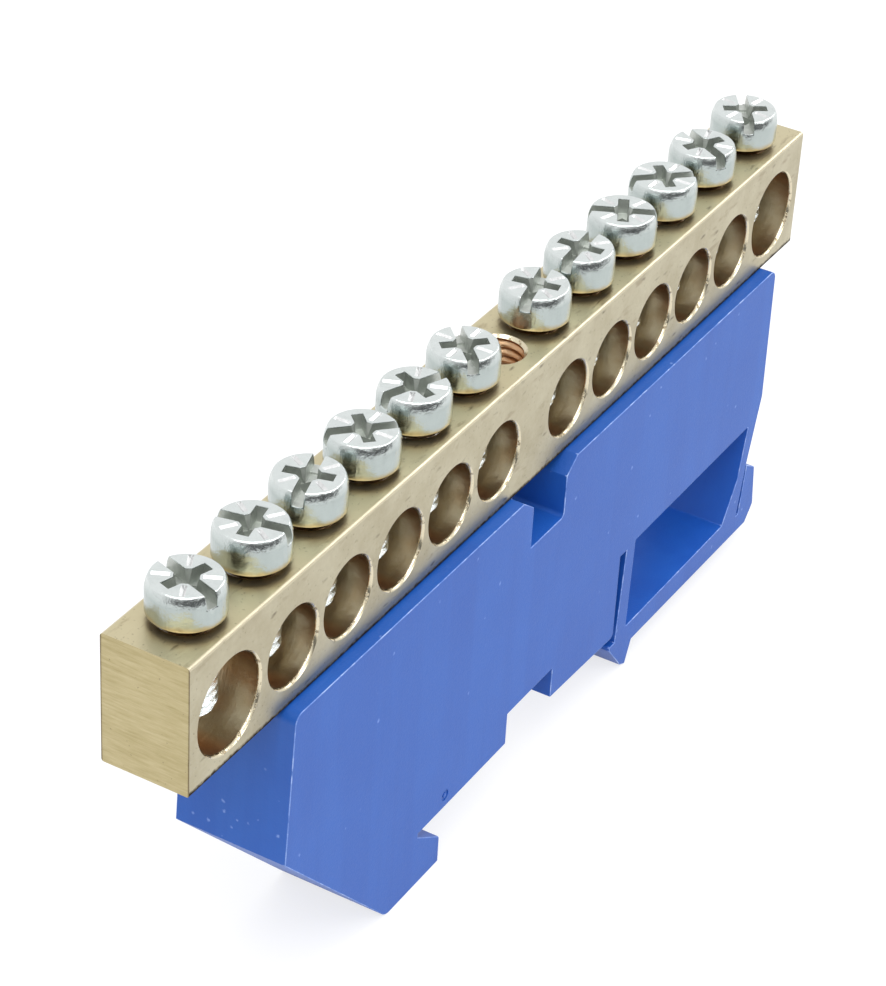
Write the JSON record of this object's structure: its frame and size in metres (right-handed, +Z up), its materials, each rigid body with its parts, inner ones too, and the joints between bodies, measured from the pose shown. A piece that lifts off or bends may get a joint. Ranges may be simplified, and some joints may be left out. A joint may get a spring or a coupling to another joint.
{
  "type": "neutral terminal bar",
  "caption": "Brass neutral bar with a row of wire holes, each closed by a clamp screw from above, on a blue moulded support that clips onto a 35 mm mounting rail.",
  "frame": {"origin": "middle of the 35 mm rail's width and of the support's depth, on the plane where the rail's face meets the support", "axes": "+X along the bar towards the latch, +Y from the front to the back, +Z up from the rail towards the screw heads"},
  "size_m": [0.1034, 0.0106, 0.0471],
  "materials": {
    "brass": "bright drawn bar with sawn ends",
    "zinc_screw": "bright zinc plate",
    "blue_plastic": "moulded, satin"
  },
  "bodies": {
    "bar_on_support": {"brass_bar": "brass", "rail_support": "blue_plastic", "fixing_screw": "zinc_screw"},
    "clamp_screw_01": {"terminal_screw_01": "zinc_screw"},
    "clamp_screw_02": {"terminal_screw_02": "zinc_screw"},
    "clamp_screw_03": {"terminal_screw_03": "zinc_screw"},
    "clamp_screw_04": {"terminal_screw_04": "zinc_screw"},
    "clamp_screw_05": {"terminal_screw_05": "zinc_screw"},
    "clamp_screw_06": {"terminal_screw_06": "zinc_screw"},
    "clamp_screw_07": {"terminal_screw_07": "zinc_screw"},
    "clamp_screw_08": {"terminal_screw_08": "zinc_screw"},
    "clamp_screw_09": {"terminal_screw_09": "zinc_screw"},
    "clamp_screw_10": {"terminal_screw_10": "zinc_screw"},
    "clamp_screw_11": {"terminal_screw_11": "zinc_screw"},
    "clamp_screw_12": {"terminal_screw_12": "zinc_screw"}
  },
  "joints": [
    {"name": "clamp_screw_01_travel", "type": "slide", "parent": "bar_on_support", "child": "clamp_screw_01", "axis": [0, 0, 1], "range_m": [-0.0005, 0.0058]},
    {"name": "clamp_screw_02_travel", "type": "slide", "parent": "bar_on_support", "child": "clamp_screw_02", "axis": [0, 0, 1], "range_m": [-0.0005, 0.0051]},
    {"name": "clamp_screw_03_travel", "type": "slide", "parent": "bar_on_support", "child": "clamp_screw_03", "axis": [0, 0, 1], "range_m": [-0.0005, 0.0051]},
    {"name": "clamp_screw_04_travel", "type": "slide", "parent": "bar_on_support", "child": "clamp_screw_04", "axis": [0, 0, 1], "range_m": [-0.0005, 0.0051]},
    {"name": "clamp_screw_05_travel", "type": "slide", "parent": "bar_on_support", "child": "clamp_screw_05", "axis": [0, 0, 1], "range_m": [-0.0005, 0.0051]},
    {"name": "clamp_screw_06_travel", "type": "slide", "parent": "bar_on_support", "child": "clamp_screw_06", "axis": [0, 0, 1], "range_m": [-0.0005, 0.0051]},
    {"name": "clamp_screw_07_travel", "type": "slide", "parent": "bar_on_support", "child": "clamp_screw_07", "axis": [0, 0, 1], "range_m": [-0.0005, 0.0051]},
    {"name": "clamp_screw_08_travel", "type": "slide", "parent": "bar_on_support", "child": "clamp_screw_08", "axis": [0, 0, 1], "range_m": [-0.0005, 0.0051]},
    {"name": "clamp_screw_09_travel", "type": "slide", "parent": "bar_on_support", "child": "clamp_screw_09", "axis": [0, 0, 1], "range_m": [-0.0005, 0.0051]},
    {"name": "clamp_screw_10_travel", "type": "slide", "parent": "bar_on_support", "child": "clamp_screw_10", "axis": [0, 0, 1], "range_m": [-0.0005, 0.0051]},
    {"name": "clamp_screw_11_travel", "type": "slide", "parent": "bar_on_support", "child": "clamp_screw_11", "axis": [0, 0, 1], "range_m": [-0.0005, 0.0051]},
    {"name": "clamp_screw_12_travel", "type": "slide", "parent": "bar_on_support", "child": "clamp_screw_12", "axis": [0, 0, 1], "range_m": [-0.0005, 0.0058]}
  ]
}
